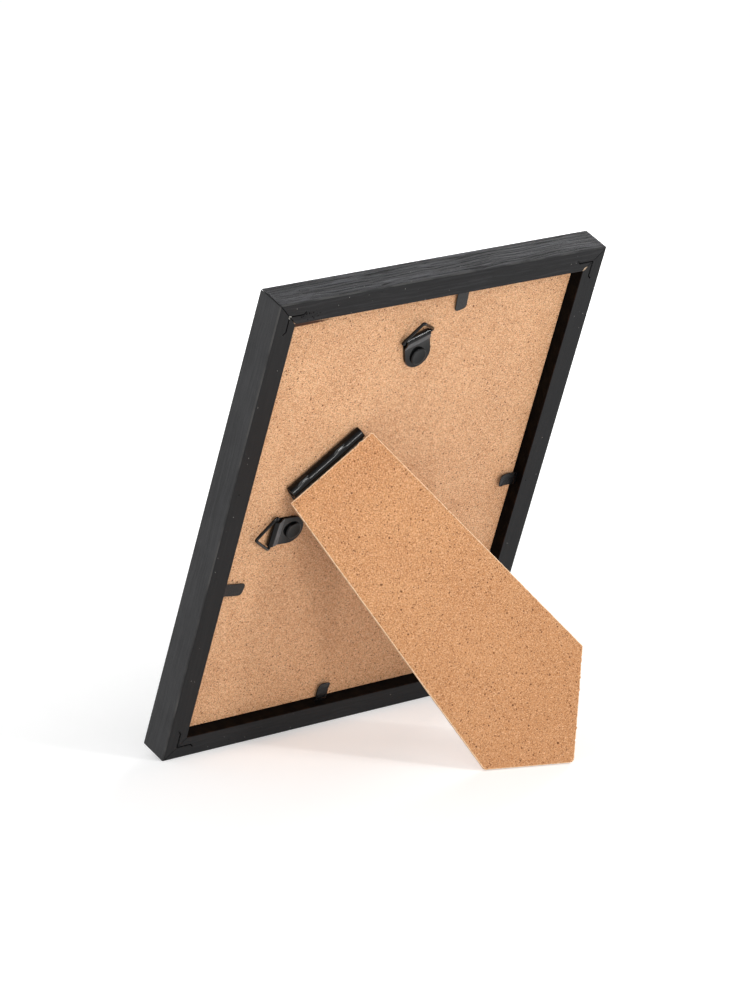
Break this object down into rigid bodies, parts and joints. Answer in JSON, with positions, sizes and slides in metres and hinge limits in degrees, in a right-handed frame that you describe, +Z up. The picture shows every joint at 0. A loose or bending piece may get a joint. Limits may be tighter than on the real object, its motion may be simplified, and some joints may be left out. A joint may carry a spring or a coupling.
{
  "type": "picture frame",
  "caption": "Tabletop picture frame with a mitred black wooden moulding, glass, hardboard back, folding easel leg, hanging rings and bendable tabs.",
  "frame": {"origin": "on the floor, under the centre of the bounding box of the standing frame", "axes": "+Z up; -Y towards the picture's viewer; +Y towards the easel leg; +X to the left of someone who looks at the back"},
  "size_m": [0.17, 0.1342, 0.2068],
  "materials": {
    "black_wood": "satin black paint with brushed grain",
    "dark_steel": "darkened steel",
    "clear_glass": "clear, polished",
    "white_paper": "matt white",
    "hardboard": "smooth tan hardboard with fine flecks",
    "leg_hardboard": "smooth tan hardboard with fine flecks",
    "black_metal": "black lacquer, semi-gloss",
    "tab_metal": "matt black coating"
  },
  "bodies": {
    "frame": {"frame_rail_bottom": "black_wood", "frame_rail_top": "black_wood", "frame_stile_left": "black_wood", "frame_stile_right": "black_wood", "corner_nail_bottom_left": "dark_steel", "corner_nail_bottom_right": "dark_steel", "corner_nail_top_left": "dark_steel", "corner_nail_top_right": "dark_steel", "glass_pane": "clear_glass", "paper_insert": "white_paper", "backing_board": "hardboard", "hinge_board_leaf": "black_metal", "hinge_pin": "black_metal", "hanger_top_strap": "black_metal", "hanger_top_rivet": "black_metal", "hanger_left_strap": "black_metal", "hanger_left_rivet": "black_metal", "tab_top_grip": "tab_metal", "tab_left_grip": "tab_metal", "tab_bottom_grip": "tab_metal", "tab_right_grip": "tab_metal"},
    "leg": {"easel_leg": "leg_hardboard", "hinge_leg_leaf": "black_metal"},
    "ring_top": {"hanger_top_ring": "black_metal"},
    "ring_left": {"hanger_left_ring": "black_metal"},
    "tongue_top": {"tab_top": "tab_metal"},
    "tongue_left": {"tab_left": "tab_metal"},
    "tongue_bottom": {"tab_bottom": "tab_metal"},
    "tongue_right": {"tab_right": "tab_metal"}
  },
  "joints": [
    {"name": "leg_fold", "type": "hinge", "parent": "frame", "child": "leg", "pos_m": [0.0364, -0.00241, 0.12567], "axis": [0.7716, -0.2547, -0.5829], "range_deg": [-45, 0]},
    {"name": "ring_top_swing", "type": "hinge", "parent": "frame", "child": "ring_top", "pos_m": [0.00385, 0.01815, 0.17511], "axis": [-0.9455, 0.1303, 0.2983], "range_deg": [-28, 115]},
    {"name": "ring_left_swing", "type": "hinge", "parent": "frame", "child": "ring_left", "pos_m": [0.05369, -0.01596, 0.09703], "axis": [-0.0523, 0.3998, 0.9151], "range_deg": [-17, 126]},
    {"name": "tab_top_bend", "type": "hinge", "parent": "frame", "child": "tongue_top", "pos_m": [-0.01467, 0.02591, 0.19298], "axis": [0.9781, -0.0832, -0.1905], "range_deg": [0, 80]},
    {"name": "tab_left_bend", "type": "hinge", "parent": "frame", "child": "tongue_left", "pos_m": [0.07422, -0.02561, 0.07506], "axis": [0.2079, -0.3916, -0.8963], "range_deg": [0, 80]},
    {"name": "tab_bottom_bend", "type": "hinge", "parent": "frame", "child": "tongue_bottom", "pos_m": [0.002, -0.05353, 0.01115], "axis": [-1, 0, 0], "range_deg": [-4, 76]},
    {"name": "tab_right_bend", "type": "hinge", "parent": "frame", "child": "tongue_right", "pos_m": [-0.0742, -0.01522, 0.09885], "axis": [0, 0.4003, 0.9164], "range_deg": [-4, 76]}
  ]
}
